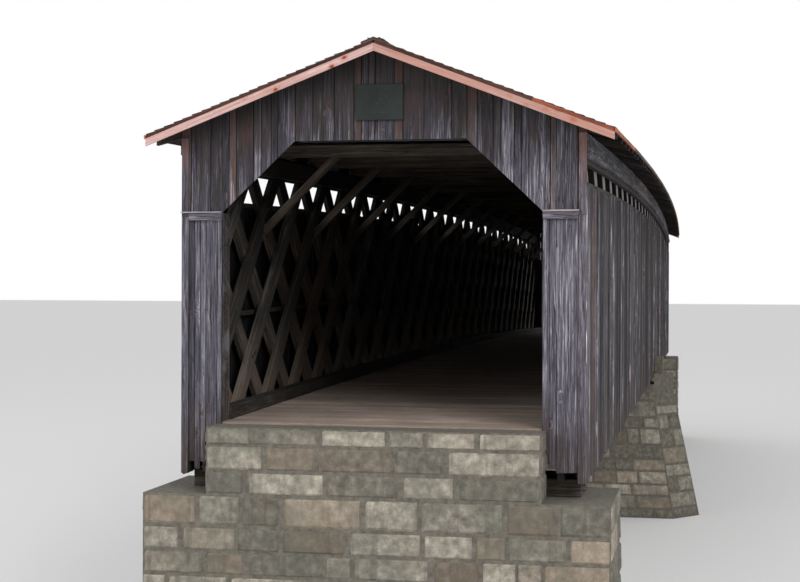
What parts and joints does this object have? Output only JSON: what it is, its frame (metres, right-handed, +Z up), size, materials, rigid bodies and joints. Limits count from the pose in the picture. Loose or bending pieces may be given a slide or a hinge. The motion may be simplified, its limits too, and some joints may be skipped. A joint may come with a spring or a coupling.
{
  "type": "timber covered bridge",
  "caption": "Covered wooden bridge with plank lattice side trusses, a gabled shingle roof, weathered board siding and shouldered entrances, on stone abutments and a pier with cutwaters.",
  "frame": {"origin": "on the level ground under the masonry, at the centre of the object's outline", "axes": "+Y along the roadway from the entrance with the plaque to the far one, +X to the right when driving that way, +Z up"},
  "size_m": [7.0658, 37.476, 8.3457],
  "materials": {
    "masonry": "rough stone masonry",
    "weathered_boards": "bare, weathered grey",
    "new_trim": "bare, newly sawn",
    "shingle_roof": "weathered shingles",
    "deck_planks": "worn planks",
    "old_timber": "rough sawn, darkened",
    "plaque_paint": "dark green paint"
  },
  "bodies": {
    "root": {"center_pier": "masonry", "deck": "deck_planks", "far_abutment": "masonry", "far_bed_timbers": "old_timber", "far_cheek_ledges": "weathered_boards", "far_corner_boards": "weathered_boards", "far_gable_wall": "weathered_boards", "far_opening_lining": "weathered_boards", "far_rake_boards": "new_trim", "floor_beams": "old_timber", "floor_joists": "old_timber", "left_chords": "old_timber", "left_curb": "old_timber", "left_eave_edge": "new_trim", "left_frieze": "weathered_boards", "left_girts": "old_timber", "left_knee_braces": "old_timber", "left_lattice": "old_timber", "left_rafters": "old_timber", "left_roof_slope": "shingle_roof", "left_siding": "weathered_boards", "left_wall_plate": "old_timber", "near_abutment": "masonry", "near_bed_timbers": "old_timber", "near_cheek_ledges": "weathered_boards", "near_corner_boards": "weathered_boards", "near_gable_wall": "weathered_boards", "near_opening_lining": "weathered_boards", "near_rake_boards": "new_trim", "pier_bed_timbers": "old_timber", "pier_cap": "masonry", "portal_plaque": "plaque_paint", "ridge_cap": "shingle_roof", "right_chords": "old_timber", "right_curb": "old_timber", "right_eave_edge": "new_trim", "right_frieze": "weathered_boards", "right_girts": "old_timber", "right_knee_braces": "old_timber", "right_lattice": "old_timber", "right_rafters": "old_timber", "right_roof_slope": "shingle_roof", "right_siding": "weathered_boards", "right_wall_plate": "old_timber", "tie_beams": "old_timber"}
  },
  "joints": []
}
